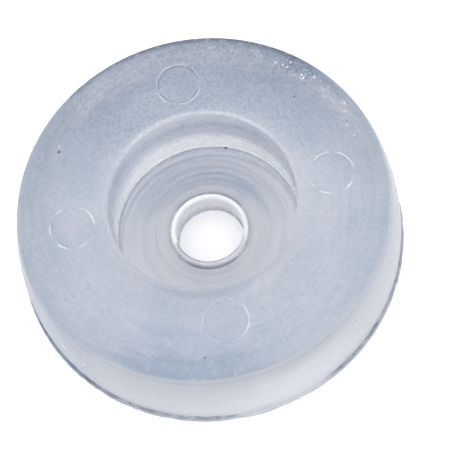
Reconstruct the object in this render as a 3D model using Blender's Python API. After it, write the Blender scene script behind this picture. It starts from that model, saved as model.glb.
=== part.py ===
"""Screw-on bumper pad: one round piece of clear soft plastic, moulded in one shot.

A low disc with a rounded top edge, a counterbore that hides the screw's head, a raised
lip round the screw hole, and a thin rim at its foot where the two mould halves met.
Four ejector pins left low round pads on its face.

Frame: metres, +Z up along the screw, origin in the middle of the flat back.
"""
import math

import bmesh
import bpy

MM = 0.001

# Body
PAD_HEIGHT = 6.60 * MM
RIM_RADIUS = 12.70 * MM
RIM_THICKNESS = 0.25 * MM
RIM_LEDGE = 0.20 * MM
BELLY_HEIGHT = 1.70 * MM
BELLY_SWELL = 0.09 * MM
WALL_ARC_RADIUS = 18.0 * MM
FACE_EDGE_RADIUS = 1.20 * MM

# Counterbore for the screw's head
COUNTERBORE_RADIUS = 6.10 * MM
COUNTERBORE_DEPTH = 4.95 * MM
MOUTH_EDGE_RADIUS = 0.20 * MM
FLOOR_CORNER_RADIUS = 0.18 * MM

# Screw hole and the lip round it
HOLE_RADIUS = 2.24 * MM
LIP_WIDTH = 0.38 * MM
LIP_HEIGHT = 0.34 * MM

# Pads left by the ejector pins
EJECTOR_PAD_COUNT = 4
EJECTOR_PAD_RADIUS = 1.48 * MM
EJECTOR_PAD_HEIGHT = 0.06 * MM
EJECTOR_CIRCLE_RADIUS = 8.50 * MM
EJECTOR_PAD_ROOT = 0.40 * MM

# Fineness of the round shapes
TURN_STEPS = 96
WALL_ARC_STEPS = 6
BELLY_ARC_STEPS = 3
FACE_EDGE_STEPS = 8
SMALL_ARC_STEPS = 3
LIP_STEPS = 6
EJECTOR_PAD_SIDES = 48
SMOOTH_ANGLE = math.radians(32)

# Look of the plastic
PLASTIC_COLOUR = (0.72, 0.77, 0.83, 1.0)
PLASTIC_ROUGHNESS = 0.38


def arc(centre, radius, start, end, steps):
    """Points (radius, height) along a round arc, both of its ends included."""
    points = []
    for step in range(steps + 1):
        angle = start + (end - start) * step / steps
        points.append((centre[0] + radius * math.cos(angle), centre[1] + radius * math.sin(angle)))
    return points


def outer_side():
    """Face edge, wall and rim, from the flat face down to the back's outer corner."""
    foot_radius = RIM_RADIUS - RIM_LEDGE
    belly_radius = foot_radius + BELLY_SWELL

    # The long wall arc stands upright at the belly, and the face edge rolls off it.
    wall_centre = (belly_radius - WALL_ARC_RADIUS, BELLY_HEIGHT)
    edge_height = PAD_HEIGHT - FACE_EDGE_RADIUS
    reach = WALL_ARC_RADIUS - FACE_EDGE_RADIUS
    lean = math.asin((edge_height - BELLY_HEIGHT) / reach)
    edge_centre = (wall_centre[0] + reach * math.cos(lean), edge_height)
    edge = arc(edge_centre, FACE_EDGE_RADIUS, math.pi / 2, lean, FACE_EDGE_STEPS)
    wall = arc(wall_centre, WALL_ARC_RADIUS, lean, 0.0, WALL_ARC_STEPS)

    # Below the belly the wall draws in to the foot, on an arc through both.
    drop = BELLY_HEIGHT - RIM_THICKNESS
    tuck_radius = (drop ** 2 + BELLY_SWELL ** 2) / (2 * BELLY_SWELL)
    tuck_centre = (belly_radius - tuck_radius, BELLY_HEIGHT)
    tuck = arc(tuck_centre, tuck_radius, 0.0, -math.asin(drop / tuck_radius), BELLY_ARC_STEPS)

    rim = [(RIM_RADIUS, RIM_THICKNESS), (RIM_RADIUS, 0.0)]
    return edge + wall[1:] + tuck[1:] + rim


def inner_side():
    """Hole, lip, counterbore floor and wall, from the back up to the mouth's edge."""
    floor_height = PAD_HEIGHT - COUNTERBORE_DEPTH
    lip = []
    for step in range(LIP_STEPS + 1):
        angle = math.pi * (1 - step / LIP_STEPS)
        lip.append((
            HOLE_RADIUS + LIP_WIDTH / 2 * (1 + math.cos(angle)),
            floor_height + LIP_HEIGHT * math.sin(angle),
        ))
    corner_centre = (COUNTERBORE_RADIUS - FLOOR_CORNER_RADIUS, floor_height + FLOOR_CORNER_RADIUS)
    corner = arc(corner_centre, FLOOR_CORNER_RADIUS, -math.pi / 2, 0.0, SMALL_ARC_STEPS)
    mouth_centre = (COUNTERBORE_RADIUS + MOUTH_EDGE_RADIUS, PAD_HEIGHT - MOUTH_EDGE_RADIUS)
    mouth = arc(mouth_centre, MOUTH_EDGE_RADIUS, math.pi, math.pi / 2, SMALL_ARC_STEPS)
    return [(HOLE_RADIUS, 0.0)] + lip + corner + mouth


def turn_profile(name, profile):
    """Mesh object made by turning a closed profile once round the Z axis."""
    shape = bmesh.new()
    ring = [shape.verts.new((radius, 0.0, height)) for radius, height in profile]
    for index, vert in enumerate(ring):
        shape.edges.new((vert, ring[(index + 1) % len(ring)]))
    bmesh.ops.spin(
        shape,
        geom=shape.edges[:],
        cent=(0.0, 0.0, 0.0),
        axis=(0.0, 0.0, 1.0),
        angle=2 * math.pi,
        steps=TURN_STEPS,
        use_merge=True,
    )
    bmesh.ops.recalc_face_normals(shape, faces=shape.faces)
    return mesh_object(name, shape)


def ejector_pads():
    """Round slugs at each ejector pin, sunk in the face so that they join the body."""
    slugs = bmesh.new()
    length = EJECTOR_PAD_HEIGHT + EJECTOR_PAD_ROOT
    for index in range(EJECTOR_PAD_COUNT):
        angle = 2 * math.pi * index / EJECTOR_PAD_COUNT
        made = bmesh.ops.create_cone(
            slugs,
            cap_ends=True,
            segments=EJECTOR_PAD_SIDES,
            radius1=EJECTOR_PAD_RADIUS,
            radius2=EJECTOR_PAD_RADIUS,
            depth=length,
        )
        place = (
            EJECTOR_CIRCLE_RADIUS * math.cos(angle),
            EJECTOR_CIRCLE_RADIUS * math.sin(angle),
            PAD_HEIGHT + EJECTOR_PAD_HEIGHT - length / 2,
        )
        bmesh.ops.translate(slugs, verts=made["verts"], vec=place)
    guide = mesh_object("ejector_pad_guide", slugs)
    guide.hide_render = True
    guide.display_type = "WIRE"
    return guide


def mesh_object(name, shape):
    """Object in the scene that holds a bmesh."""
    mesh = bpy.data.meshes.new(name)
    shape.to_mesh(mesh)
    shape.free()
    made = bpy.data.objects.new(name, mesh)
    bpy.context.scene.collection.objects.link(made)
    return made


def clear_plastic():
    """Milky clear soft plastic, pale blue-grey, with a satin skin."""
    material = bpy.data.materials.new("clear_soft_plastic")
    material.use_nodes = True
    shader = material.node_tree.nodes["Principled BSDF"]
    shader.inputs["Base Color"].default_value = PLASTIC_COLOUR
    shader.inputs["Roughness"].default_value = PLASTIC_ROUGHNESS
    shader.inputs["Metallic"].default_value = 0.0
    return material


def bumper_pad():
    """The whole pad: the turned body with its ejector pads joined on."""
    body = turn_profile("bumper_pad", outer_side() + inner_side())
    join = body.modifiers.new("ejector_pads", "BOOLEAN")
    join.operation = "UNION"
    join.solver = "EXACT"
    join.object = ejector_pads()
    body.data.materials.append(clear_plastic())
    body.data.shade_smooth()
    body.data.set_sharp_from_angle(angle=SMOOTH_ANGLE)
    return body


for old in list(bpy.data.objects):
    bpy.data.objects.remove(old)
bumper_pad()
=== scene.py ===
"""Screw-on bumper pad in milky clear soft plastic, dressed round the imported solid.

Lengths are in metres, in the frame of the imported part: +Z up along the screw, the origin
in the middle of the flat back, and the four ejector pads on the X and Y axes.
"""
import logging
import math
from abc import ABC, abstractmethod
from dataclasses import dataclass
from enum import Enum

import bmesh
import bpy
from mathutils import Matrix, Vector, noise

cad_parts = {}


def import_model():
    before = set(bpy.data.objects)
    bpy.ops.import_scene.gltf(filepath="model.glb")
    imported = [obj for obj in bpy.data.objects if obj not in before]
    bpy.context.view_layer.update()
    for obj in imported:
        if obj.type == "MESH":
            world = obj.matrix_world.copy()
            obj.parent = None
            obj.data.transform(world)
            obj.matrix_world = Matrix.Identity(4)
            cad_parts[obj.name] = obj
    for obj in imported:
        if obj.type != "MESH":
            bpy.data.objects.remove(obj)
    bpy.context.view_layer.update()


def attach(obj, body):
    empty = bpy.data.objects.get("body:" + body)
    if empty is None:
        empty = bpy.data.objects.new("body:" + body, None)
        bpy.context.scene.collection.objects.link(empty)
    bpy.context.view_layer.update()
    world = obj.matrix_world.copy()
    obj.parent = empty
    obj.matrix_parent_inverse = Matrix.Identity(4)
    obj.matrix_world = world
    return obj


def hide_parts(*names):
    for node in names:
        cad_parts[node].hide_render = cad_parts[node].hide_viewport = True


MM = 0.001
PHOTO_SIDE = 450

# Places of the colour mixer's inputs and of its result, which share their names with others
MIX_SHARE, MIX_UNDER, MIX_OVER, MIX_RESULT = 0, 6, 7, 2

# Finer layers in the noise of the streaks and of the stretches round the axis
STREAK_DETAIL = 3.0
STRETCH_DETAIL = 1.0

Point = tuple[float, float]
Place = tuple[float, float, float]
Colour = tuple[float, float, float, float]
Socket = bpy.types.NodeSocket

log = logging.getLogger("bumper_pad_scene")


class Blend(Enum):
    """How a layer of colour goes on over what is under it."""

    COVER = "MIX"
    SHADE = "MULTIPLY"


COVER, SHADE = Blend.COVER, Blend.SHADE


def put_in_scene(name: str, data: bpy.types.ID) -> bpy.types.Object:
    """Makes an object for a mesh, a lamp or a camera and puts it in the scene.

    Args:
        name: the object's name.
        data: what it holds.

    Returns:
        The new object.
    """
    made = bpy.data.objects.new(name, data)
    bpy.context.scene.collection.objects.link(made)
    return made


def mesh_object(name: str, shape: bmesh.types.BMesh) -> bpy.types.Object:
    """Makes an object from a drawn mesh and puts it in the scene.

    Args:
        name: the object's name.
        shape: its mesh, which is used up.

    Returns:
        The new object.
    """
    mesh = bpy.data.meshes.new(name)
    shape.to_mesh(mesh)
    shape.free()
    return put_in_scene(name, mesh)


class NodeSheet:
    """The node tree of a finish or of the sky, with short calls for the nodes that it takes."""

    def __init__(self, holder: bpy.types.Material | bpy.types.World) -> None:
        """Starts from an empty tree.

        Args:
            holder: the material or the world that holds the nodes.
        """
        holder.use_nodes = True
        self.tree = holder.node_tree
        self.tree.nodes.clear()

    def add(self, kind: str, **settings: object) -> bpy.types.Node:
        """Adds a node and sets its properties.

        Args:
            kind: the node's Blender type.
            settings: properties of the node, by name.

        Returns:
            The new node.
        """
        node = self.tree.nodes.new(kind)
        for name, value in settings.items():
            setattr(node, name, value)
        return node

    def feed(self, socket: Socket, value: object) -> None:
        """Links a socket to another one, or sets its number or colour.

        Args:
            socket: the input that is fed.
            value: the socket that is linked to it, or the number or colour that it gets.
        """
        if isinstance(value, Socket):
            self.tree.links.new(value, socket)
        else:
            socket.default_value = value

    def surface(self, shader: str, output: str = "ShaderNodeOutputMaterial") -> bpy.types.Node:
        """Adds the output and the shader that feeds its surface.

        Args:
            shader: the shader node's Blender type.
            output: the output node's Blender type.

        Returns:
            The shader's node.
        """
        out = self.add(output)
        node = self.add(shader)
        self.feed(out.inputs["Surface"], node.outputs[0])
        return node

    def math(self, operation: str, *values: object) -> Socket:
        """Works out a number from one to three others.

        Args:
            operation: the Math node's operation.
            values: numbers or sockets, in the node's order.

        Returns:
            The socket with the result.
        """
        node = self.add("ShaderNodeMath", operation=operation)
        for socket, value in zip(node.inputs, values):
            self.feed(socket, value)
        return node.outputs[0]

    def ease(self, value: object, low: float, high: float) -> Socket:
        """Rises smoothly from 0 to 1 as a value goes from low to high.

        Args:
            value: the number or socket that is read.
            low: where the result is 0. It may lie above high, and the result then falls.
            high: where the result is 1.

        Returns:
            The socket with the result.
        """
        node = self.add("ShaderNodeMapRange", interpolation_type="SMOOTHSTEP")
        self.feed(node.inputs["Value"], value)
        node.inputs["From Min"].default_value = min(low, high)
        node.inputs["From Max"].default_value = max(low, high)
        node.inputs["To Min"].default_value = 0.0 if low < high else 1.0
        node.inputs["To Max"].default_value = 1.0 if low < high else 0.0
        return node.outputs["Result"]

    def band(self, value: object, low: float, high: float, soft: float) -> Socket:
        """Is 1 between two values and falls off outside them.

        Args:
            value: the number or socket that is read.
            low: lower side of the band.
            high: upper side of the band.
            soft: width over which each side falls off.

        Returns:
            The socket with the result.
        """
        rise = self.ease(value, low - soft, low)
        fall = self.ease(value, high + soft, high)
        return self.math("MULTIPLY", rise, fall)

    def noise(self, vector: object, scale: float, detail: float = 2.0) -> Socket:
        """Reads smooth noise.

        Args:
            vector: the socket with the place that is read.
            scale: waves in one unit of the vector.
            detail: how many finer layers are added.

        Returns:
            The socket with the noise, about 0 to 1.
        """
        node = self.add("ShaderNodeTexNoise")
        self.feed(node.inputs["Vector"], vector)
        node.inputs["Scale"].default_value = scale
        node.inputs["Detail"].default_value = detail
        return node.outputs["Fac"]

    def tint(self, under: object, over: object, share: object, how: Blend) -> Socket:
        """Lays one colour over another.

        Args:
            under: colour or socket below.
            over: colour or socket on top.
            share: how much of the top colour shows, 0 to 1.
            how: the way in which it is laid on.

        Returns:
            The socket with the colour.
        """
        node = self.add("ShaderNodeMix", data_type="RGBA", blend_type=how.value)
        self.feed(node.inputs[MIX_SHARE], share)
        self.feed(node.inputs[MIX_UNDER], under)
        self.feed(node.inputs[MIX_OVER], over)
        return node.outputs[MIX_RESULT]


@dataclass
class PadShape:
    """Sizes of the moulding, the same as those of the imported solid."""

    height: float = 6.60 * MM
    rim_radius: float = 12.70 * MM
    rim_thickness: float = 0.25 * MM
    rim_ledge: float = 0.20 * MM
    belly_height: float = 1.70 * MM
    belly_swell: float = 0.09 * MM
    wall_arc_radius: float = 18.0 * MM
    face_edge_radius: float = 1.20 * MM
    counterbore_radius: float = 6.10 * MM
    counterbore_depth: float = 4.95 * MM
    mouth_edge_radius: float = 0.20 * MM
    floor_corner_radius: float = 0.18 * MM
    hole_radius: float = 2.24 * MM
    lip_width: float = 0.38 * MM
    lip_height: float = 0.34 * MM
    ejector_circle_radius: float = 8.50 * MM
    ejector_pad_radius: float = 1.48 * MM
    ejector_pad_height: float = 0.06 * MM
    ejector_pad_count: int = 4

    def pin_middles(self) -> list[Vector]:
        """Middles of the ejector pads, at the height of the back."""
        turns = [2 * math.pi * index / self.ejector_pad_count for index in range(self.ejector_pad_count)]
        return [Vector((math.cos(a), math.sin(a), 0.0)) * self.ejector_circle_radius for a in turns]

    def floor_height(self) -> float:
        """Height of the counterbore's floor above the back."""
        return self.height - self.counterbore_depth

    def lip_outer_radius(self) -> float:
        """Radius of the lip's foot on the counterbore's floor."""
        return self.hole_radius + self.lip_width

    def face_outer_radius(self) -> float:
        """Radius at which the flat face turns into its rounded edge."""
        return self.edge_centre()[0]

    def wall_centre(self) -> Point:
        """Centre of the long arc that the wall follows above its belly."""
        belly_radius = self.rim_radius - self.rim_ledge + self.belly_swell
        return belly_radius - self.wall_arc_radius, self.belly_height

    def lean(self) -> float:
        """Angle at which the wall's arc meets the rounded edge."""
        rise = self.height - self.face_edge_radius - self.belly_height
        return math.asin(rise / (self.wall_arc_radius - self.face_edge_radius))

    def edge_centre(self) -> Point:
        """Centre of the arc that rounds the face's edge.

        Returns:
            Its radius and height.
        """
        reach = self.wall_arc_radius - self.face_edge_radius
        across = self.wall_centre()[0] + reach * math.cos(self.lean())
        return across, self.height - self.face_edge_radius


@dataclass
class PadBody:
    """The visible moulding: a fine turned mesh with the marks that its mould left."""

    shape: PadShape
    turn_steps: int = 288
    round_steps: int = 20
    wall_steps: int = 16
    foot_steps: int = 6
    small_steps: int = 8
    lip_steps: int = 16
    support: float = 0.04 * MM
    groove_pitch: float = 0.11 * MM
    groove_depth: float = 0.006 * MM
    groove_middle: float = 0.4
    cut_step: float = 0.7
    cut_row: float = 3.1
    rim_ragged: float = 0.09 * MM
    rim_wave: float = 1.1 * MM
    ripple_share: float = 0.6
    ripple_pace: int = 3
    pad_sides: int = 96
    pad_root: float = 0.30 * MM
    flash_width: float = 0.03 * MM
    flash_height: float = 0.05 * MM
    burr_width: float = 0.13 * MM
    burr_height: float = 0.035 * MM
    burr_crest: Point = (0.3, 0.5)
    sharp_angle: float = math.radians(34)

    def arc(self, centre: Point, radius: float, start: float, end: float, steps: int) -> list[Point]:
        """Points along a round arc, as radius and height, both of its ends included."""
        angles = [start + (end - start) * step / steps for step in range(steps + 1)]
        return [(centre[0] + radius * math.cos(a), centre[1] + radius * math.sin(a)) for a in angles]

    def outer_side(self) -> list[Point]:
        """Face, rounded edge, wall, foot and rim, down to the back.

        Returns:
            Points as radius and height.
        """
        s = self.shape
        lean = s.lean()
        mouth_rim = s.counterbore_radius + s.mouth_edge_radius
        face = [(mouth_rim + self.support, s.height), (s.face_outer_radius() - self.support, s.height)]
        edge = self.arc(s.edge_centre(), s.face_edge_radius, math.pi / 2, lean, self.round_steps)
        wall = self.arc(s.wall_centre(), s.wall_arc_radius, lean, 0.0, self.wall_steps)
        drop = s.belly_height - s.rim_thickness
        tuck_radius = (drop ** 2 + s.belly_swell ** 2) / (2 * s.belly_swell)
        tuck_centre = (wall[-1][0] - tuck_radius, s.belly_height)
        tuck = self.arc(tuck_centre, tuck_radius, 0.0, -math.asin(drop / tuck_radius), self.foot_steps)
        rim = [(s.rim_radius, s.rim_thickness), (s.rim_radius, 0.0)]
        return face + edge + wall[1:] + tuck[1:] + rim

    def inner_side(self) -> list[Point]:
        """Hole, lip, turned floor, counterbore wall and mouth, up to the face.

        Returns:
            Points as radius and height.
        """
        s = self.shape
        floor = s.floor_height()
        lip = []
        for step in range(self.lip_steps + 1):
            angle = math.pi * (1 - step / self.lip_steps)
            across = s.hole_radius + s.lip_width / 2 * (1 + math.cos(angle))
            lip.append((across, floor + s.lip_height * math.sin(angle)))
        corner_centre = (s.counterbore_radius - s.floor_corner_radius, floor + s.floor_corner_radius)
        corner = self.arc(corner_centre, s.floor_corner_radius, -math.pi / 2, 0.0, self.small_steps)
        mouth_centre = (s.counterbore_radius + s.mouth_edge_radius, s.height - s.mouth_edge_radius)
        mouth = self.arc(mouth_centre, s.mouth_edge_radius, math.pi, math.pi / 2, self.small_steps)
        flash = s.hole_radius - self.flash_width
        bore = [
            (flash, 0.0),
            (flash, self.flash_height),
            (s.hole_radius, self.flash_height * 2),
            (s.hole_radius, floor / 2),
        ]
        thirds = (1 / 3, 2 / 3)
        wall = [(s.counterbore_radius, floor + (s.height - floor) * share) for share in thirds]
        return bore + lip + self.floor_grooves() + corner + wall + mouth

    def floor_grooves(self) -> list[Point]:
        """Fine turned rings across the counterbore's floor, each as deep as its own cut.

        Returns:
            Points as radius and height.
        """
        s = self.shape
        start = s.lip_outer_radius() + self.support
        end = s.counterbore_radius - s.floor_corner_radius - self.support
        count = round((end - start) / self.groove_pitch)
        points = []
        for index in range(count + 1):
            cut = noise.noise(Vector((index * self.cut_step, self.cut_row, 0.0)))
            across = start + (end - start) * index / count
            points.append((across, s.floor_height() + self.groove_depth * (cut - self.groove_middle)))
        return points

    def turned(self) -> bpy.types.Object:
        """Turns the outline once round the axis.

        Returns:
            The body before its ejector pads are joined on.
        """
        outline = self.outer_side() + self.inner_side()
        shape = bmesh.new()
        rings = []
        for step in range(self.turn_steps):
            angle = 2 * math.pi * step / self.turn_steps
            ring = []
            for drawn, height in outline:
                across = self.ragged(drawn, height, angle)
                ring.append(shape.verts.new((across * math.cos(angle), across * math.sin(angle), height)))
            rings.append(ring)
        for step, ring in enumerate(rings):
            after = rings[(step + 1) % self.turn_steps]
            for index in range(len(outline)):
                following = (index + 1) % len(outline)
                shape.faces.new((ring[index], ring[following], after[following], after[index]))
        bmesh.ops.recalc_face_normals(shape, faces=shape.faces)
        return mesh_object("bumper_pad_body", shape)

    def ragged(self, across: float, height: float, angle: float) -> float:
        """Radius of a point once the rim's thin edge is a little uneven.

        Args:
            across: the point's radius as drawn.
            height: its height above the back.
            angle: where it lies round the axis.

        Returns:
            The radius, changed only on the rim.
        """
        if across < self.shape.rim_radius:
            return across
        place = Vector((math.cos(angle), math.sin(angle), 0.0)) * (across / self.rim_wave)
        place.z = height / self.rim_wave
        wave = noise.noise(place) + self.ripple_share * noise.noise(place * self.ripple_pace)
        return across - self.rim_ragged * max(0.0, wave)

    def pad_outline(self) -> list[Point]:
        """Side, thin burr and flat top of one ejector pad, out from its own middle.

        Returns:
            Points as radius and height, from the sunk root to the flat top.
        """
        s = self.shape
        rim = s.ejector_pad_radius
        top = s.height + s.ejector_pad_height
        outer, inner = self.burr_crest
        return [
            (rim, s.height - self.pad_root),
            (rim, top - self.burr_height),
            (rim - self.burr_width * outer, top),
            (rim - self.burr_width * inner, top),
            (rim - self.burr_width, top - self.burr_height),
        ]

    def pad_slugs(self) -> bpy.types.Object:
        """Round slugs for all the ejector pads.

        Returns:
            One object with a closed slug at each ejector pin.
        """
        s = self.shape
        slugs = bmesh.new()
        sides = [2 * math.pi * side / self.pad_sides for side in range(self.pad_sides)]
        for middle in s.pin_middles():
            rings = []
            for across, height in self.pad_outline():
                around = [Vector((across * math.cos(a), across * math.sin(a), height)) for a in sides]
                rings.append([slugs.verts.new(middle + point) for point in around])
            for low, high in zip(rings, rings[1:]):
                for side in range(self.pad_sides):
                    following = (side + 1) % self.pad_sides
                    slugs.faces.new((low[side], low[following], high[following], high[side]))
            slugs.faces.new(list(reversed(rings[0])))
            slugs.faces.new(rings[-1])
        return mesh_object("ejector_pad_slugs", slugs)

    def build(self) -> bpy.types.Object:
        """Makes the whole moulding as one closed mesh.

        Returns:
            The finished body.
        """
        body = self.turned()
        slugs = self.pad_slugs()
        join = body.modifiers.new("ejector_pads", "BOOLEAN")
        join.operation = "UNION"
        join.solver = "EXACT"
        join.object = slugs
        bpy.context.view_layer.update()
        graph = bpy.context.evaluated_depsgraph_get()
        whole = bpy.data.meshes.new_from_object(body.evaluated_get(graph))
        body.modifiers.clear()
        body.data = whole
        bpy.data.objects.remove(slugs)
        body.data.shade_smooth()
        body.data.set_sharp_from_angle(angle=self.sharp_angle)
        return body


class Measure(Enum):
    """What a mask reads of a point's place, in millimetres."""

    ACROSS = "distance from the axis"
    HEIGHT = "height above the back"


ACROSS, HEIGHT = Measure.ACROSS, Measure.HEIGHT


class Mask(ABC):
    """A share from 0 to 1 that depends on where a point of the skin lies."""

    @abstractmethod
    def work_out(self, skin: "Skin") -> Socket:
        """Adds the nodes that give the share.

        Args:
            skin: where the point lies.

        Returns:
            The socket with the share.
        """

    def less(self, gain: float = 1.0) -> "Scaled":
        """The mask that is 1 where this one is 0, and lower by the gain where this one is 1."""
        return Scaled(self, -gain, 1.0)


class Skin:
    """Where a point of the pad's skin lies, as nodes that give millimetres.

    The ring is a vector. Its first two parts give the direction from the axis, and its
    third the distance. A mask that was worked out once is kept for the next use.
    """

    def __init__(self, sheet: NodeSheet) -> None:
        """Adds the nodes that read the place.

        Args:
            sheet: the nodes of the finish.
        """
        self.sheet = sheet
        self.kept: dict[Mask, Socket] = {}
        scaled = sheet.add("ShaderNodeVectorMath", operation="SCALE")
        sheet.feed(scaled.inputs[0], sheet.add("ShaderNodeTexCoord").outputs["Object"])
        scaled.inputs["Scale"].default_value = 1 / MM
        self.point = scaled.outputs[0]
        parts = sheet.add("ShaderNodeSeparateXYZ")
        sheet.feed(parts.inputs[0], self.point)
        x, y, z = parts.outputs
        squares = sheet.math("ADD", sheet.math("MULTIPLY", x, x), sheet.math("MULTIPLY", y, y))
        across = sheet.math("SQRT", squares)
        ring = sheet.add("ShaderNodeCombineXYZ")
        sheet.feed(ring.inputs[0], sheet.math("DIVIDE", x, across))
        sheet.feed(ring.inputs[1], sheet.math("DIVIDE", y, across))
        sheet.feed(ring.inputs[2], across)
        self.ring = ring.outputs[0]
        self.measures = {Measure.ACROSS: across, Measure.HEIGHT: z}

    def share(self, mask: Mask) -> Socket:
        """Gives the share of a mask.

        Args:
            mask: the mask.

        Returns:
            The socket with the share.
        """
        if mask not in self.kept:
            self.kept[mask] = mask.work_out(self)
        return self.kept[mask]

    def product(self, *factors: object) -> Socket:
        """Multiplies masks, sockets and numbers.

        Args:
            factors: what is multiplied.

        Returns:
            The socket with the product.
        """
        values = [self.share(factor) if isinstance(factor, Mask) else factor for factor in factors]
        total = values[0]
        for value in values[1:]:
            total = self.sheet.math("MULTIPLY", total, value)
        return total

    def noise(self, scale: float, detail: float) -> Socket:
        """Smooth noise all over the skin, by its waves a millimetre and its finer layers."""
        return self.sheet.noise(self.point, scale, detail)

    def apart(self, middle: Place) -> Socket:
        """Distance of the point from another one.

        Args:
            middle: the other point.

        Returns:
            The socket with the distance.
        """
        node = self.sheet.add("ShaderNodeVectorMath", operation="DISTANCE")
        self.sheet.feed(node.inputs[0], self.point)
        node.inputs[1].default_value = middle
        return node.outputs["Value"]

    def streaks(self, along: float, outward: float, upward: float = 0.0) -> Socket:
        """Noise in streaks that run round the axis.

        Args:
            along: how fast it changes round the axis, in waves a radian.
            outward: how fast it changes outward, in waves a millimetre.
            upward: how fast it changes with the height, in waves a millimetre.

        Returns:
            The socket with the noise.
        """
        sheet = self.sheet
        vector = sheet.add("ShaderNodeVectorMath", operation="MULTIPLY")
        sheet.feed(vector.inputs[0], self.ring)
        vector.inputs[1].default_value = (along, along, outward)
        raised = sheet.add("ShaderNodeCombineXYZ")
        sheet.feed(raised.inputs[2], sheet.math("MULTIPLY", self.measures[HEIGHT], upward))
        total = sheet.add("ShaderNodeVectorMath", operation="ADD")
        sheet.feed(total.inputs[0], vector.outputs[0])
        sheet.feed(total.inputs[1], raised.outputs[0])
        return sheet.noise(total.outputs[0], 1.0, STREAK_DETAIL)


@dataclass(frozen=True)
class Ramp(Mask):
    """Goes smoothly from 0 at one measure to 1 at another, which may be the smaller one."""

    measure: Measure
    none: float
    full: float

    def work_out(self, skin: Skin) -> Socket:
        """Adds the ramp's nodes and gives their share."""
        return skin.sheet.ease(skin.measures[self.measure], self.none, self.full)


@dataclass(frozen=True)
class Band(Mask):
    """Is 1 between two measures and falls off outside them over the soft width."""

    measure: Measure
    low: float
    high: float
    soft: float

    def work_out(self, skin: Skin) -> Socket:
        """Adds the band's nodes and gives their share."""
        return skin.sheet.band(skin.measures[self.measure], self.low, self.high, self.soft)


@dataclass(frozen=True)
class Stretch(Mask):
    """Stretches that come and go round the axis.

    The first two values choose the noise: waves a radian, and where in it the ring lies.
    The last two are the noise at which a stretch starts and is whole.
    """

    along: float
    shift: Place
    none: float
    full: float

    def work_out(self, skin: Skin) -> Socket:
        """Adds the nodes of the stretches.

        Args:
            skin: where the point lies.

        Returns:
            The socket with the share.
        """
        vector = skin.sheet.add("ShaderNodeVectorMath", operation="MULTIPLY_ADD")
        skin.sheet.feed(vector.inputs[0], skin.ring)
        vector.inputs[1].default_value = (self.along, self.along, 0.0)
        vector.inputs[2].default_value = self.shift
        noise_round = skin.sheet.noise(vector.outputs[0], 1.0, STRETCH_DETAIL)
        return skin.sheet.ease(noise_round, self.none, self.full)


@dataclass(frozen=True)
class Streaks(Mask):
    """Streaks that run round the axis, shown where their noise goes from none to full."""

    along: float
    outward: float
    none: float
    full: float
    upward: float = 0.0

    def work_out(self, skin: Skin) -> Socket:
        """Adds the nodes of the streaks and gives their share."""
        return skin.sheet.ease(skin.streaks(self.along, self.outward, self.upward), self.none, self.full)


@dataclass(frozen=True)
class Grain(Mask):
    """Patches of smooth noise, shown where it goes from none to full."""

    scale: float
    detail: float
    none: float
    full: float

    def work_out(self, skin: Skin) -> Socket:
        """Adds the nodes of the patches and gives their share."""
        return skin.sheet.ease(skin.noise(self.scale, self.detail), self.none, self.full)


@dataclass(frozen=True)
class Dots(Mask):
    """Small round dots, one in each cell of a loose net."""

    scale: float
    none: float
    full: float

    def work_out(self, skin: Skin) -> Socket:
        """Adds the nodes of the dots.

        Args:
            skin: where the point lies.

        Returns:
            The socket with the share.
        """
        cells = skin.sheet.add("ShaderNodeTexVoronoi", feature="F1")
        skin.sheet.feed(cells.inputs["Vector"], skin.point)
        cells.inputs["Scale"].default_value = self.scale
        return skin.sheet.ease(cells.outputs["Distance"], self.none, self.full)


@dataclass(frozen=True)
class Scaled(Mask):
    """Another mask, times a gain and with a base added."""

    mask: Mask
    gain: float
    base: float

    def work_out(self, skin: Skin) -> Socket:
        """Adds the node that scales the mask and gives its share."""
        return skin.sheet.math("MULTIPLY_ADD", skin.share(self.mask), self.gain, self.base)


@dataclass(frozen=True)
class Both(Mask):
    """The product of some masks, so it is 1 only where all of them are."""

    masks: tuple[Mask, ...]

    def work_out(self, skin: Skin) -> Socket:
        """Adds the nodes of the product and gives its share."""
        return skin.product(*self.masks)


@dataclass(frozen=True)
class Either(Mask):
    """The largest of some masks."""

    masks: tuple[Mask, ...]

    def work_out(self, skin: Skin) -> Socket:
        """Adds the nodes that find the largest mask.

        Args:
            skin: where the point lies.

        Returns:
            The socket with the share.
        """
        total = skin.share(self.masks[0])
        for mask in self.masks[1:]:
            total = skin.sheet.math("MAXIMUM", total, skin.share(mask))
        return total


@dataclass(frozen=True)
class Spot(Mask):
    """A small round mark on the skin, with a soft edge: its place and its radius."""

    x: float
    y: float
    z: float
    radius: float
    core: float = 0.4

    def work_out(self, skin: Skin) -> Socket:
        """Adds the nodes of the mark and gives their share."""
        return skin.sheet.ease(skin.apart((self.x, self.y, self.z)), self.radius, self.radius * self.core)


@dataclass(frozen=True)
class PadRing(Mask):
    """A thin line round the middle of one ejector pad."""

    middle: Place
    radius: float
    width: float

    def work_out(self, skin: Skin) -> Socket:
        """Adds the nodes of the line and gives their share."""
        return skin.sheet.band(skin.apart(self.middle), self.radius, self.radius, self.width / 2)


@dataclass(frozen=True)
class Layer:
    """One tint of the plastic: its colour, how it goes on, how much of it and where."""

    colour: Colour
    how: Blend
    share: float
    where: tuple[Mask, ...]


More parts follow.
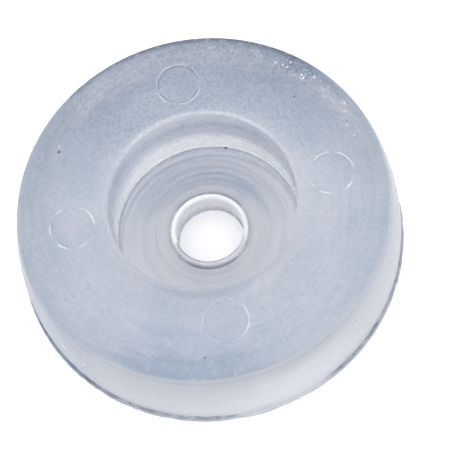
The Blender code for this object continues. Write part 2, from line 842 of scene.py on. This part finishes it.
@dataclass(frozen=True)
class Palette:
    """Colours of the plastic, of the light and shade painted on it, and of what lies on it."""

    pale: Colour = (0.830, 0.832, 0.872, 1.0)
    deep: Colour = (0.735, 0.774, 0.826, 1.0)
    # blue: mostly painted shade, and also the random streaks and the floor's turned rings
    blue: Colour = (0.59, 0.70, 0.80, 1.0)
    shade: Colour = (0.40, 0.47, 0.56, 1.0)
    speck: Colour = (0.63, 0.69, 0.75, 1.0)
    # a faint painted shade, laid on away from the shaded side
    faint_shade: Colour = (0.915, 0.935, 0.955, 1.0)
    # lavender: painted light on the wall's lit side, and also the arcs, the floor's lands, the hole and
    # light patches
    lavender: Colour = (0.86, 0.845, 0.885, 1.0)
    # painted light on the counterbore's floor, away from the shaded side
    thin: Colour = (0.89, 0.895, 0.925, 1.0)
    # painted light: the halo and the mouth, the wall's foot, the ring round the lip and the glints
    glow: Colour = (0.93, 0.915, 0.94, 1.0)
    # painted light in the lower half of the counterbore's wall
    bright: Colour = (1.0, 0.975, 0.99, 1.0)
    # the darkest painted shade: outlines, corners, lines at the lip, the back of the hole and the rim
    painted_shade: Colour = (0.30, 0.36, 0.46, 1.0)
    fleck: Colour = (0.10, 0.11, 0.15, 1.0)
    # painted glints and highlights
    glint: Colour = (1.0, 1.0, 1.0, 1.0)
    # the opaque veil of painted shade
    veil_shade: Colour = (0.50, 0.52, 0.60, 1.0)


@dataclass(frozen=True)
class Sides:
    """Where round the axis the pad's painted light and shade and its painted glints lie."""

    # The shaded side: painted shade on the disc, its outline and the floor there, and a painted halo at
    # the mouth.
    shade_side: Stretch = Stretch(0.8, (-8.2, 68.5, -40.3), 0.46, 0.66)
    # Painted shade in a belt inside the rounded edge and near the mouth.
    blue_belt: Stretch = Stretch(1.0, (0.9, 19.4, -8.7), 0.52, 0.66)
    # Painted shade along the foot rim.
    rim_shade: Stretch = Stretch(2.2, (71.9, -45.2, 55.7), 0.28, 0.46)
    # Painted glints on the rough belt where the face rolls over.
    glint_edge: Stretch = Stretch(1.2, (27.6, 72.0, 81.6), 0.44, 0.54)
    # Painted shade at the lip's foot.
    lip_shade: Stretch = Stretch(1.4, (-15.0, 39.9, -33.7), 0.46, 0.62)
    # Painted shade at the back of the hole.
    hole_edge: Stretch = Stretch(1.4, (-78.1, 16.4, -28.3), 0.50, 0.58)
    # Painted shade on the lip's crest.
    near_crest: Stretch = Stretch(1.0, (-1.8, 58.5, -38.3), 0.48, 0.62)
    # Painted shade in the outline along the rounded edge.
    dark_brim: Stretch = Stretch(1.6, (82.8, -86.2, -55.9), 0.42, 0.66)
    # The wall's lit side, which gets painted light; the other side gets painted shade.
    lit_wall: Stretch = Stretch(1.0, (-61.8, 18.3, -73.6), 0.36, 0.56)
    # Painted highlight on the lip's crest.
    lip_highlight: Stretch = Stretch(0.8, (4.7, 17.1, -24.9), 0.38, 0.56)
    # Painted light round the mouth.
    mouth_light: Stretch = Stretch(1.0, (79.1, 24.5, -55.7), 0.44, 0.62)


class Region(ABC):
    """A part of the pad that has tints of its own."""

    @abstractmethod
    def layers(self, paint: Palette, sides: Sides) -> tuple[Layer, ...]:
        """Gives the tints of this part.

        Args:
            paint: the colours.
            sides: where round the axis things lie.

        Returns:
            The layers, from the lowest up.
        """


@dataclass(frozen=True)
class OuterDisc(Region):
    """Painted shade on one side of the outer disc, darkest at its rounded edge, a painted halo at the
    mouth, and streaks round it.
    """

    clouds: Grain = Grain(0.30, 3.0, 0.38, 0.66)
    swath: Band = Band(ACROSS, 9.1, 9.9, 0.9)
    outer_half: Ramp = Ramp(ACROSS, 7.0, 9.2)
    halo: Band = Band(ACROSS, 6.5, 7.5, 0.7)
    face: Ramp = Ramp(HEIGHT, 6.2, 6.4)
    top: Ramp = Ramp(HEIGHT, 5.2, 5.7)
    brim: Ramp = Ramp(ACROSS, 11.1, 11.8)
    outline: Ramp = Ramp(ACROSS, 11.2, 11.75)
    last_line: Ramp = Ramp(ACROSS, 11.60, 11.76)
    outward: Scaled = Scaled(Ramp(ACROSS, 7.5, 10.0), 0.8, 0.2)
    broad: Streaks = Streaks(2.4, 2.6, 0.45, 0.72)
    arcs: Streaks = Streaks(1.6, 4.5, 0.52, 0.62)
    arc_belt: Band = Band(ACROSS, 10.0, 11.2, 0.5)
    fine: Streaks = Streaks(7.0, 8.0, 0.45, 0.72)

    def layers(self, paint: Palette, sides: Sides) -> tuple[Layer, ...]:
        """Gives the tints of the outer disc.

        Args:
            paint: the colours.
            sides: where round the axis things lie.

        Returns:
            The layers, from the lowest up.
        """
        marked, dark = sides.shade_side, sides.dark_brim
        return (
            Layer(paint.deep, COVER, 1.0, (self.clouds,)),
            # Painted shade: a faint shade off the shaded side, and a bluer shade over the outer disc on
            # it.
            Layer(paint.faint_shade, SHADE, 1.0, (marked.less(0.8),)),
            Layer(paint.blue, SHADE, 0.40, (marked, self.swath)),
            Layer(paint.blue, SHADE, 0.26, (marked, self.outer_half)),
            # Painted light: a halo round the mouth on the shaded side.
            Layer(paint.glow, COVER, 0.50, (marked, self.halo, self.face)),
            # Painted shade at the rounded edge, darkest in two outline lines where dark_brim lies.
            Layer(paint.blue, SHADE, 1.0, (Scaled(marked, 0.9, 0.1), self.brim, self.top)),
            Layer(paint.painted_shade, SHADE, 1.0, (marked, dark, self.outline, self.top)),
            Layer(paint.painted_shade, SHADE, 1.0, (marked, dark, self.last_line, self.top)),
            Layer(paint.blue, SHADE, 0.30, (self.broad, self.outward)),
            Layer(paint.lavender, COVER, 0.42, (self.arcs, self.arc_belt, marked)),
            Layer(paint.blue, SHADE, 0.40, (self.fine, self.outward)),
        )


@dataclass(frozen=True)
class Wall(Region):
    """Painted shade in a belt inside the rounded edge and on the wall's dim side, painted light on its
    lit side and foot.
    """

    edge: Ramp = Ramp(ACROSS, 10.4, 11.2)
    above_wall: Ramp = Ramp(HEIGHT, 5.85, 6.08)
    inner_belt: Band = Band(ACROSS, 4.4, 7.6, 0.6)
    outer_belt: Band = Band(ACROSS, 9.2, 10.2, 0.7)
    outside: Ramp = Ramp(ACROSS, 11.9, 12.0)
    below_edge: Ramp = Ramp(HEIGHT, 6.02, 5.86)
    dim: Ramp = Ramp(ACROSS, 11.75, 12.0)
    low: Ramp = Ramp(ACROSS, 12.2, 12.3)
    downward: Ramp = Ramp(HEIGHT, 3.8, 1.4)
    lines: Streaks = Streaks(0.6, 0.0, 0.50, 0.70, 4.5)
    cut: Band = Band(HEIGHT, 5.56, 5.62, 0.06)
    cut_side: Ramp = Ramp(ACROSS, 11.8, 11.9)

    def layers(self, paint: Palette, sides: Sides) -> tuple[Layer, ...]:
        """Gives the tints of the belt and the wall.

        Args:
            paint: the colours.
            sides: where round the axis things lie.

        Returns:
            The layers, from the lowest up.
        """
        # The wall's lit side, which gets painted light; the other side gets painted shade.
        clear = sides.lit_wall
        belt = Scaled(sides.blue_belt, 0.85, 0.05)
        near = Both((sides.blue_belt, sides.shade_side.less()))
        wall = (self.outside, self.below_edge, clear)
        return (
            # Painted shade in belts inside the rounded edge and out from the mouth.
            Layer(paint.blue, SHADE, 1.0, (belt, self.edge, self.above_wall)),
            Layer(paint.blue, SHADE, 0.28, (near, self.inner_belt)),
            Layer(paint.blue, SHADE, 0.46, (near, self.outer_belt)),
            # Painted light on the wall's lit side and towards its foot, and painted shade on its dim
            # side.
            Layer(paint.lavender, COVER, 0.85, wall),
            Layer(paint.blue, SHADE, 0.40, (self.dim, clear.less())),
            Layer(paint.glow, COVER, 0.50, (self.low, self.downward, clear)),
            Layer(paint.blue, SHADE, 0.2125, (self.lines, *wall)),
            Layer(paint.blue, SHADE, 0.60, (self.cut, self.cut_side)),
        )


@dataclass(frozen=True)
class Counterbore(Region):
    """Painted shade up the wall and light low on it, painted light at the mouth and on the floor, and
    turned rings.
    """

    wall: Both = Both((Ramp(ACROSS, 6.20, 6.12), Ramp(ACROSS, 5.94, 6.0)))
    upper_half: Ramp = Ramp(HEIGHT, 3.2, 4.8)
    under_mouth: Ramp = Ramp(HEIGHT, 5.0, 5.9)
    lower_half: Ramp = Ramp(HEIGHT, 3.9, 2.9)
    mouth_top: Ramp = Ramp(HEIGHT, 6.2, 6.4)
    near_mouth: Ramp = Ramp(ACROSS, 7.5, 6.35)
    mouth_line: Band = Band(ACROSS, 6.20, 6.36, 0.06)
    floor: Both = Both((Ramp(ACROSS, 6.0, 5.8), Ramp(ACROSS, 2.62, 2.72)))
    cuts: Streaks = Streaks(0.45, 5.0, 0.51, 0.57)
    lands: Streaks = Streaks(0.45, 5.0, 0.45, 0.39)
    pale_ring: Band = Band(ACROSS, 5.1, 5.9, 0.9)
    corner: Band = Band(ACROSS, 5.98, 6.05, 0.05)
    corner_foot: Ramp = Ramp(HEIGHT, 1.90, 1.78)

    def layers(self, paint: Palette, sides: Sides) -> tuple[Layer, ...]:
        """Gives the tints of the counterbore.

        Args:
            paint: the colours.
            sides: where round the axis things lie.

        Returns:
            The layers, from the lowest up.
        """
        marked = sides.shade_side
        lit = Scaled(sides.mouth_light, 0.40, 0.22)
        rings = Scaled(marked, 0.72, 0.22)
        return (
            # Painted shade in the wall's upper half, and painted light in its lower half.
            Layer(paint.blue, SHADE, 0.45, (self.wall, self.upper_half)),
            Layer(paint.shade, SHADE, 0.30, (self.wall, self.under_mouth)),
            Layer(paint.bright, COVER, 1.0, (self.wall, self.lower_half)),
            # Painted light round the mouth.
            Layer(paint.glow, COVER, 1.0, (self.near_mouth, self.mouth_top, lit)),
            Layer(paint.glow, COVER, 0.60, (self.mouth_line, self.mouth_top)),
            # Painted light on the floor, away from the shaded side.
            Layer(paint.thin, COVER, 0.70, (self.floor, marked.less(0.9))),
            Layer(paint.blue, SHADE, 1.0, (self.cuts, self.floor, rings)),
            Layer(paint.lavender, COVER, 0.95, (self.lands, self.floor, rings)),
            Layer(paint.lavender, COVER, 0.34, (self.pale_ring, self.floor, marked)),
            # Painted shade in the corner at the foot of the wall.
            Layer(paint.painted_shade, SHADE, 0.85, (self.corner, self.corner_foot)),
        )


@dataclass(frozen=True)
class Hole(Region):
    """The hole and its lip, with painted light round the lip and painted shade in dark lines at its foot,
    on its crest and at the back.
    """

    lip: Ramp = Ramp(ACROSS, 2.75, 2.5)
    lip_foot: Band = Band(ACROSS, 2.61, 2.74, 0.05)
    round_lip: Band = Band(ACROSS, 2.75, 3.2, 0.5)
    on_floor: Ramp = Ramp(HEIGHT, 1.92, 1.80)
    inside: Ramp = Ramp(ACROSS, 2.4, 2.3)
    back_edge: Ramp = Ramp(HEIGHT, 0.16, 0.04)
    back_shade: Ramp = Ramp(HEIGHT, 0.42, 0.26)
    crest: Ramp = Ramp(ACROSS, 2.44, 2.38)
    above_floor: Ramp = Ramp(HEIGHT, 1.5, 1.7)

    def layers(self, paint: Palette, sides: Sides) -> tuple[Layer, ...]:
        """Gives the tints of the hole and its lip.

        Args:
            paint: the colours.
            sides: where round the axis things lie.

        Returns:
            The layers, from the lowest up.
        """
        foot_shade = sides.lip_shade
        return (
            Layer(paint.lavender, COVER, 1.0, (self.lip,)),
            # Painted light in a ring round the lip, weaker where the shade at its foot is strong.
            Layer(paint.glow, COVER, 0.70, (self.round_lip, self.on_floor, foot_shade.less())),
            # Painted shade at the lip's foot, at the back of the hole and on the lip's crest.
            Layer(paint.painted_shade, SHADE, 1.0, (self.lip_foot, self.on_floor, Scaled(foot_shade, 0.75, 0.20))),
            Layer(paint.painted_shade, SHADE, 0.65, (self.inside, self.back_edge)),
            Layer(paint.painted_shade, SHADE, 1.0, (sides.hole_edge, self.inside, self.back_shade)),
            Layer(paint.painted_shade, SHADE, 1.0, (self.crest, self.above_floor, sides.near_crest)),
        )


@dataclass(frozen=True)
class FootRim(Region):
    """A thin rim at the foot, with painted shade in its corner and along its lower edge."""

    ledge: Ramp = Ramp(ACROSS, 12.38, 12.46)
    low: Ramp = Ramp(HEIGHT, 0.75, 0.45)
    corner: Ramp = Ramp(ACROSS, 12.60, 12.54)
    lower_edge: Scaled = Scaled(Ramp(HEIGHT, 0.16, 0.10), 0.6, 0.0)
    dashes: Grain = Grain(2.2, 2.0, 0.42, 0.56)
    rim_line_shade: tuple[float, float] = (0.70, 0.30)

    def layers(self, paint: Palette, sides: Sides) -> tuple[Layer, ...]:
        """Gives the painted shade on the rim.

        Args:
            paint: the colours.
            sides: where round the axis things lie.

        Returns:
            The one layer.
        """
        lines = Both((Either((self.corner, self.lower_edge)), self.dashes))
        rim_line_shade = Scaled(lines, *self.rim_line_shade)
        # Painted shade in broken lines in the rim's corner and along its lower edge.
        return (Layer(paint.painted_shade, SHADE, 1.0, (self.ledge, self.low, rim_line_shade, sides.rim_shade)),)


@dataclass(frozen=True)
class Wear(Region):
    """Mottled painted glints and painted shade in pits where the face rolls over, light patches, and fine
    grain all over.
    """

    belt: Band = Band(ACROSS, 10.6, 11.5, 0.4)
    glint_patches: Grain = Grain(6.5, 2.0, 0.54, 0.64)
    pits: Grain = Grain(6.5, 2.0, 0.46, 0.36)
    patches: Grain = Grain(1.9, 3.0, 0.50, 0.72)
    grain: Grain = Grain(6.0, 3.0, 0.42, 0.66)
    off_wall: Scaled = Ramp(ACROSS, 11.9, 12.2).less(0.7)
    off_floor: Scaled = Counterbore.floor.less(0.6)

    def layers(self, paint: Palette, sides: Sides) -> tuple[Layer, ...]:
        """Gives the tints of the wear and the grain.

        Args:
            paint: the colours.
            sides: where round the axis things lie.

        Returns:
            The layers, from the lowest up.
        """
        marked, glinting = sides.shade_side, sides.glint_edge
        grain = (self.grain, Scaled(marked, 0.6, 0.4), self.off_wall, self.off_floor)
        return (
            # Painted glints, and painted shade in pits, on the rough belt where the face rolls over.
            Layer(paint.glow, COVER, 1.0, (glinting, self.belt, self.glint_patches, Scaled(marked, 0.42, 0.15))),
            Layer(paint.shade, SHADE, 1.0, (glinting, self.belt, self.pits, Scaled(marked, 0.7, 0.1))),
            Layer(paint.lavender, COVER, 0.45, (self.patches,)),
            Layer(paint.speck, SHADE, 1.0, grain),
        )


@dataclass(frozen=True)
class EjectorMarks(Region):
    """The broken burr round every ejector pad, and the painted shade in the line inside it."""

    shape: PadShape
    burr: Point = (1.45, 0.22)
    inner_line: Point = (1.33, 0.20)
    broken: Grain = Grain(1.4, 2.0, 0.38, 0.58)

    def rings(self, radius: float, width: float) -> Both:
        """Broken lines round the middles of all the ejector pads.

        Args:
            radius: the lines' radius.
            width: their width.

        Returns:
            The mask of the lines.
        """
        top = self.shape.height / MM
        rings = [PadRing((m.x / MM, m.y / MM, top), radius, width) for m in self.shape.pin_middles()]
        return Both((Either(tuple(rings)), self.broken))

    def layers(self, paint: Palette, sides: Sides) -> tuple[Layer, ...]:
        """Gives the painted shade in the line inside the burrs."""
        # Painted shade in a broken line inside each burr.
        share = Scaled(sides.shade_side, 0.65, 0.35)
        return (Layer(paint.painted_shade, SHADE, 1.0, (share, self.rings(*self.inner_line))),)


@dataclass(frozen=True)
class PaintedLightAndShade:
    """Painted highlights and glints, which turn the plastic white and opaque, and an opaque veil of
    painted shade.
    """

    inner_crest: Ramp = Ramp(ACROSS, 2.34, 2.42)
    outer_crest: Ramp = Ramp(ACROSS, 2.62, 2.54)
    crest_top: Ramp = Ramp(HEIGHT, 1.60, 1.82)
    mouth: Band = Band(ACROSS, 6.18, 6.34, 0.12)
    mouth_top: Ramp = Ramp(HEIGHT, 6.1, 6.4)
    wall_foot: Band = Band(HEIGHT, 2.1, 2.6, 1.2)
    off_corner: Scaled = Scaled(Ramp(HEIGHT, 1.92, 2.05), 0.34, 0.0)
    dots: Dots = Dots(3.6, 0.38, 0.20)
    clusters: Grain = Grain(2.3, 1.0, 0.44, 0.54)
    edge_belt: Band = Band(ACROSS, 10.7, 11.3, 0.4)
    near_lip: Band = Band(ACROSS, 2.80, 3.25, 0.35)
    lip_side: Ramp = Ramp(ACROSS, 2.66, 2.76)
    floor_level: Scaled = Scaled(Band(HEIGHT, 1.55, 1.72, 0.05), 0.55, 0.0)
    upper_wall: Scaled = Scaled(Ramp(HEIGHT, 3.3, 4.3), 0.50, 0.0)

    def painted_highlights(self, sides: Sides, marks: EjectorMarks) -> Either:
        """Painted highlights on the lip's crest, the burrs, the mouth's edge and the foot of the
        counterbore's wall.

        Args:
            sides: where round the axis things lie.
            marks: the marks of the ejector pads.

        Returns:
            The mask of the painted highlights.
        """
        crest = Either((self.inner_crest, sides.lip_highlight))
        lip_light = Scaled(sides.lip_highlight, 0.40, 0.55)
        burr_light = Scaled(sides.blue_belt, -0.3, 0.6)
        lit = Scaled(sides.shade_side, 0.24, 0.03)
        return Either((
            Both((crest, self.outer_crest, self.crest_top, lip_light)),
            Both((marks.rings(*marks.burr), burr_light)),
            Both((self.mouth, self.mouth_top, lit)),
            Both((Counterbore.wall, self.wall_foot, self.off_corner)),
        ))

    def painted_glints(self, sides: Sides) -> Both:
        """Painted glints in tiny dots where the face rolls over, thick in some stretches and rare in
        others.
        """
        thick = Scaled(sides.shade_side, 0.50, 0.26)
        return Both((self.dots, self.clusters, self.edge_belt, sides.glint_edge, thick))

    def veil(self) -> Either:
        """Painted shade as an opaque veil on the floor round the lip and in the upper half of the
        counterbore's wall.
        """
        round_lip = Both((self.near_lip, self.lip_side, self.floor_level))
        return Either((round_lip, Both((Counterbore.wall, self.upper_wall))))


@dataclass(frozen=True)
class Satin:
    """How rough the skin is, and its fine relief: satin outside and smoother in the bores."""

    face: float = 0.30
    bore: float = 0.20
    in_bore: Both = Both((Ramp(ACROSS, 6.45, 6.2), Ramp(HEIGHT, 1.7, 1.9)))
    brim: Both = Both((Ramp(ACROSS, 11.2, 11.9), Ramp(HEIGHT, 5.2, 5.8)))
    brim_more: float = 0.2
    mouth: Both = Both((Band(ACROSS, 6.12, 6.34, 0.06), Ramp(HEIGHT, 6.25, 6.4)))
    mouth_more: float = 0.25
    uneven_noise: Point = (1.3, 2.0)
    uneven: float = 0.12
    outside: Ramp = Ramp(ACROSS, 6.2, 6.5)
    peel_noise: Point = (0.9, 1.0)
    peel_height: float = 0.030
    grain_noise: Point = (6.0, 2.0)
    grain_outside: float = 0.013
    grain_inside: float = 0.003
    ring_pace: Point = (0.5, 9.0)
    ring_height: float = 0.02

    def roughness(self, skin: Skin) -> Socket:
        """Works out the roughness.

        Args:
            skin: where the point lies.

        Returns:
            The socket with the roughness.
        """
        sheet = skin.sheet
        base = skin.share(Scaled(self.in_bore, self.bore - self.face, self.face))
        base = sheet.math("ADD", base, skin.product(self.mouth, self.mouth_more))
        base = sheet.math("ADD", base, skin.product(self.brim, self.brim_more))
        patches = skin.noise(*self.uneven_noise)
        return sheet.math("ADD", base, sheet.math("MULTIPLY_ADD", patches, self.uneven, -self.uneven / 2))

    def relief(self, skin: Skin) -> Socket:
        """Works out the fine texture of the mould's skin.

        Args:
            skin: where the point lies.

        Returns:
            The socket with the changed normal.
        """
        sheet = skin.sheet
        peel = skin.product(skin.noise(*self.peel_noise), self.outside, self.peel_height)
        depth = Scaled(self.outside, self.grain_outside, self.grain_inside)
        grain = skin.product(skin.noise(*self.grain_noise), depth, Counterbore.wall.less())
        rings = skin.product(skin.streaks(*self.ring_pace), Counterbore.floor, self.ring_height)
        bump = sheet.add("ShaderNodeBump")
        bump.inputs["Distance"].default_value = MM
        bump.inputs["Strength"].default_value = 1.0
        sheet.feed(bump.inputs["Height"], sheet.math("ADD", sheet.math("ADD", peel, grain), rings))
        return bump.outputs["Normal"]


@dataclass(frozen=True)
class MilkyPlastic:
    """Milky clear soft plastic, pale blue-grey, satin on its face and smoother in its bores, with light
    and shade painted into its colour.

    The lengths of its masks are in millimetres, because the nodes give millimetres.
    """

    shape: PadShape
    paint: Palette = Palette()
    sides: Sides = Sides()
    light_and_shade: PaintedLightAndShade = PaintedLightAndShade()
    satin: Satin = Satin()
    clearness: float = 0.97
    refraction: float = 1.5
    glint_share: float = 0.6
    flecks: tuple[Spot, ...] = (
        Spot(-8.48, 5.51, 6.60, 0.17),
        Spot(7.21, 5.86, 6.60, 0.11),
        Spot(-2.19, 8.03, 6.60, 0.07),
        Spot(-1.74, -10.64, 6.60, 0.09),
        Spot(0.27, -7.07, 6.60, 0.08),
        Spot(7.05, 2.43, 6.60, 0.06),
        Spot(6.90, 2.98, 6.60, 0.06),
        Spot(2.15, 5.68, 1.72, 0.14),
    )
    # Painted glints at listed spots on the face.
    glints: tuple[Spot, ...] = (
        Spot(-8.42, 5.87, 6.60, 0.09),
        Spot(2.65, 10.64, 6.60, 0.10),
        Spot(1.36, -7.57, 6.60, 0.08),
        Spot(8.97, -2.29, 6.60, 0.09),
        Spot(7.46, -7.09, 6.60, 0.06),
    )

    def regions(self) -> tuple[Region, ...]:
        """The parts of the pad that have tints, in the order in which the tints go on."""
        return (OuterDisc(), Wall(), Counterbore(), Hole(), EjectorMarks(self.shape), FootRim(), Wear())

    def layers(self, highlights: Mask, veil: Mask) -> list[Layer]:
        """Gives all the tints of the pad.

        Args:
            highlights: where the painted highlights and glints lie.
            veil: where an opaque veil of painted shade hides what is behind it.

        Returns:
            The layers, from the lowest up.
        """
        paint = self.paint
        layers = [layer for region in self.regions() for layer in region.layers(paint, self.sides)]
        # The veil of painted shade, then the painted highlights and glints, then the flecks.
        layers.append(Layer(paint.veil_shade, COVER, 1.0, (veil,)))
        layers.append(Layer(paint.glint, COVER, 1.0, (highlights,)))
        layers.append(Layer(paint.fleck, COVER, 1.0, (Either(self.flecks),)))
        return layers

    def material(self) -> bpy.types.Material:
        """Builds the finish.

        Returns:
            The material.
        """
        made = bpy.data.materials.new("milky_clear_plastic")
        sheet = NodeSheet(made)
        bsdf = sheet.surface("ShaderNodeBsdfPrincipled")
        skin = Skin(sheet)
        # Painted highlights and glints, in white.
        highlights = Either((
            Scaled(Either(self.glints), self.glint_share, 0.0),
            self.light_and_shade.painted_glints(self.sides),
            self.light_and_shade.painted_highlights(self.sides, EjectorMarks(self.shape)),
        ))
        veil = self.light_and_shade.veil()
        colour: object = self.paint.pale
        for layer in self.layers(highlights, veil):
            share = skin.product(*layer.where, layer.share)
            colour = sheet.tint(colour, layer.colour, share, layer.how)
        # The plastic turns opaque at the flecks, at the painted highlights and glints, and under the veil
        # of painted shade.
        marked = Either((Either(self.flecks), highlights, veil))
        bsdf.inputs["IOR"].default_value = self.refraction
        clear = skin.share(Scaled(marked, -self.clearness, self.clearness))
        sheet.feed(bsdf.inputs["Transmission Weight"], clear)
        sheet.feed(bsdf.inputs["Base Color"], colour)
        sheet.feed(bsdf.inputs["Roughness"], self.satin.roughness(skin))
        sheet.feed(bsdf.inputs["Normal"], self.satin.relief(skin))
        return made


@dataclass
class PhotoCamera:
    """The camera that took the photograph, as its circles and outline give it."""

    shape: PadShape
    lens: float = 200.0
    sensor: float = 36.0
    tilt: float = math.radians(24.14)
    lean: float = math.radians(75.90)
    turn: float = math.radians(-2.3)
    distance: float = 0.1602
    mouth_pixel: Point = (201.7, 200.3)
    clip: Point = (0.01, 10.0)

    def build(self) -> bpy.types.Object:
        """Makes the camera and puts it where it stood.

        Returns:
            The camera.
        """
        data = bpy.data.cameras.new("photo_camera")
        data.lens = self.lens
        data.sensor_width = self.sensor
        data.clip_start, data.clip_end = self.clip
        camera = put_in_scene("photo_camera", data)

        # The pad's axes as the camera sees them: x to the right, y down, z away from it.
        up = Vector((
            -math.sin(self.tilt) * math.cos(self.lean),
            -math.sin(self.tilt) * math.sin(self.lean),
            -math.cos(self.tilt),
        ))
        level = Vector((math.sin(self.lean), -math.cos(self.lean), 0.0))
        across = level * math.cos(self.turn) + up.cross(level) * math.sin(self.turn)
        seen = Matrix((across, up.cross(across), up)).transposed()
        pixels = PHOTO_SIDE * self.lens / self.sensor
        middle = PHOTO_SIDE / 2
        mouth_seen = Vector((
            (self.mouth_pixel[0] - middle) / pixels,
            (self.mouth_pixel[1] - middle) / pixels,
            1.0,
        )) * self.distance
        mouth = Vector((0.0, 0.0, self.shape.height))
        place = mouth - seen.transposed() @ mouth_seen
        axes = Matrix((seen[0], -seen[1], -seen[2])).transposed()
        camera.matrix_world = Matrix.Translation(place) @ axes.to_4x4()
        bpy.context.scene.camera = camera
        return camera


@dataclass(frozen=True)
class SoftLamp:
    """A soft square lamp that shines at the pad."""

    place: Place
    side: float
    power: float


@dataclass
class Studio:
    """Pale floor, a soft sky that is brighter on one side, and the lamps."""

    floor_side: float = 1.2
    floor_gap: float = 0.03 * MM
    floor_colour: Colour = (0.92, 0.92, 0.93, 1.0)
    floor_roughness: float = 0.9
    floor_light: Colour = (1.0, 1.0, 1.0, 1.0)
    floor_glow: float = 0.26
    bright_side: Place = (0.0, 0.0, 1.0)
    dim_sky: Colour = (0.35, 0.36, 0.38, 1.0)
    bright_sky: Colour = (1.28, 1.28, 1.28, 1.0)
    sky_turn: Point = (-0.1, 0.7)
    lamps: tuple[SoftLamp, ...] = (SoftLamp((0.14, -0.17, 0.07), 0.20, 0.20),)

    def build(self) -> None:
        """Makes the floor, the sky light and the lamps."""
        self.floor()
        self.sky()
        for index, lamp in enumerate(self.lamps):
            self.lamp(f"soft_lamp_{index}", lamp)
        bpy.context.scene.view_settings.view_transform = "Standard"

    def floor(self) -> None:
        """Makes the pale floor under the pad's back."""
        shape = bmesh.new()
        bmesh.ops.create_grid(shape, x_segments=1, y_segments=1, size=self.floor_side / 2)
        bmesh.ops.translate(shape, verts=shape.verts, vec=(0.0, 0.0, -self.floor_gap))
        floor = mesh_object("floor", shape)
        paint = bpy.data.materials.new("pale_floor")
        skin = NodeSheet(paint).surface("ShaderNodeBsdfPrincipled")
        skin.inputs["Base Color"].default_value = self.floor_colour
        skin.inputs["Roughness"].default_value = self.floor_roughness
        skin.inputs["Emission Color"].default_value = self.floor_light
        skin.inputs["Emission Strength"].default_value = self.floor_glow
        floor.data.materials.append(paint)

    def sky(self) -> None:
        """Makes the sky, which goes from dim to bright towards the bright side."""
        world = bpy.data.worlds.new("studio_sky")
        sheet = NodeSheet(world)
        back = sheet.surface("ShaderNodeBackground", "ShaderNodeOutputWorld")
        towards = sheet.add("ShaderNodeVectorMath", operation="DOT_PRODUCT")
        sheet.feed(towards.inputs[0], sheet.add("ShaderNodeTexCoord").outputs["Generated"])
        towards.inputs[1].default_value = self.bright_side
        share = sheet.ease(towards.outputs["Value"], *self.sky_turn)
        sheet.feed(back.inputs["Color"], sheet.tint(self.dim_sky, self.bright_sky, share, COVER))
        bpy.context.scene.world = world

    def lamp(self, name: str, lamp: SoftLamp) -> None:
        """Makes one lamp and aims it at the pad.

        Args:
            name: the lamp's name.
            lamp: its place, size and power.
        """
        data = bpy.data.lights.new(name, "AREA")
        data.shape = "SQUARE"
        data.size = lamp.side
        data.energy = lamp.power
        made = put_in_scene(name, data)
        made.location = lamp.place
        made.rotation_euler = (-Vector(lamp.place)).to_track_quat("-Z", "Y").to_euler()


def main() -> None:
    """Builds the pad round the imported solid, then the studio and the camera."""
    logging.basicConfig(level=logging.INFO, format="%(name)s: %(message)s")
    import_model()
    shape = PadShape()
    PhotoCamera(shape).build()
    Studio().build()
    body = PadBody(shape).build()
    body.data.materials.clear()
    body.data.materials.append(MilkyPlastic(shape).material())
    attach(body, "root")
    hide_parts("bumper_pad")
    log.info("%s: %d faces", body.name, len(body.data.polygons))


if __name__ == "__main__":
    main()
